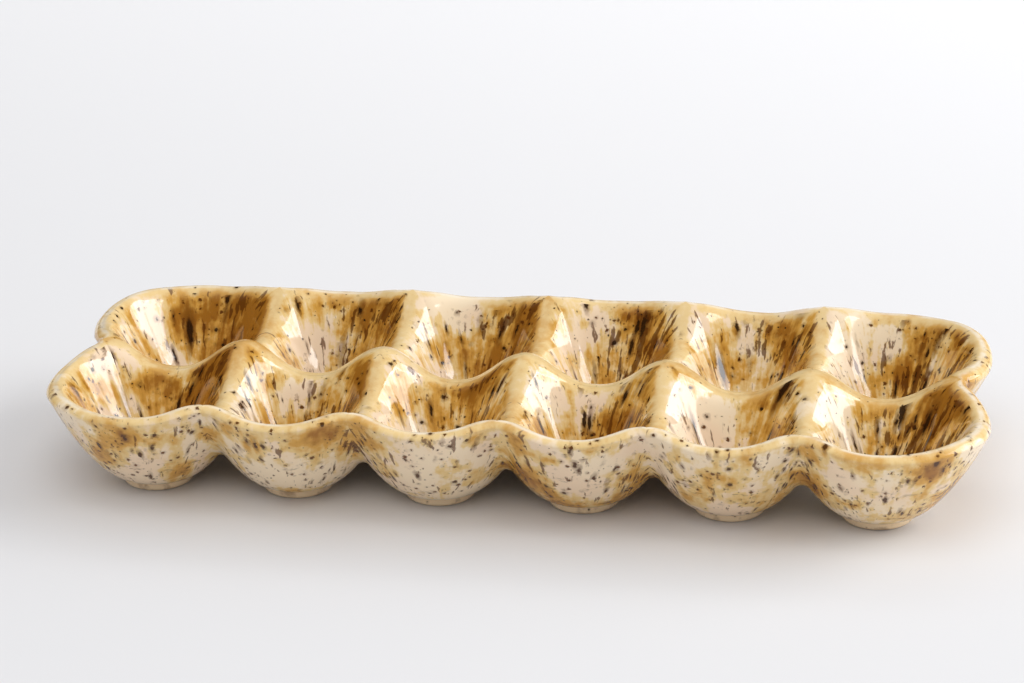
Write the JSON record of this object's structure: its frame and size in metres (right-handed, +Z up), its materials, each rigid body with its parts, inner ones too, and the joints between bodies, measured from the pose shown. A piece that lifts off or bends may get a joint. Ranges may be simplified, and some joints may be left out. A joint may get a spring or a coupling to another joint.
{
  "type": "egg crate",
  "caption": "Glazed ceramic egg crate: two rows of open round cups joined side by side, each on a small foot, with a scalloped rim and wavy ridges between the wells.",
  "frame": {"origin": "on the table, under the middle of the crate", "axes": "+X along the rows, +Y from the front row to the rear row, +Z up"},
  "size_m": [0.3028, 0.1222, 0.0385],
  "materials": {
    "speckled_glaze": "glossy cream glaze that breaks to amber, with dark brown specks and runs",
    "bare_clay": "matt speckled stoneware, wiped bare of glaze"
  },
  "bodies": {
    "root": {"cup_front_1": "speckled_glaze", "cup_front_2": "speckled_glaze", "cup_front_3": "speckled_glaze", "cup_front_4": "speckled_glaze", "cup_front_5": "speckled_glaze", "cup_front_6": "speckled_glaze", "cup_rear_1": "speckled_glaze", "cup_rear_2": "speckled_glaze", "cup_rear_3": "speckled_glaze", "cup_rear_4": "speckled_glaze", "cup_rear_5": "speckled_glaze", "cup_rear_6": "speckled_glaze", "foot_front_1": "bare_clay", "foot_front_2": "bare_clay", "foot_front_3": "bare_clay", "foot_front_4": "bare_clay", "foot_front_5": "bare_clay", "foot_front_6": "bare_clay", "foot_rear_1": "bare_clay", "foot_rear_2": "bare_clay", "foot_rear_3": "bare_clay", "foot_rear_4": "bare_clay", "foot_rear_5": "bare_clay", "foot_rear_6": "bare_clay"}
  },
  "joints": []
}
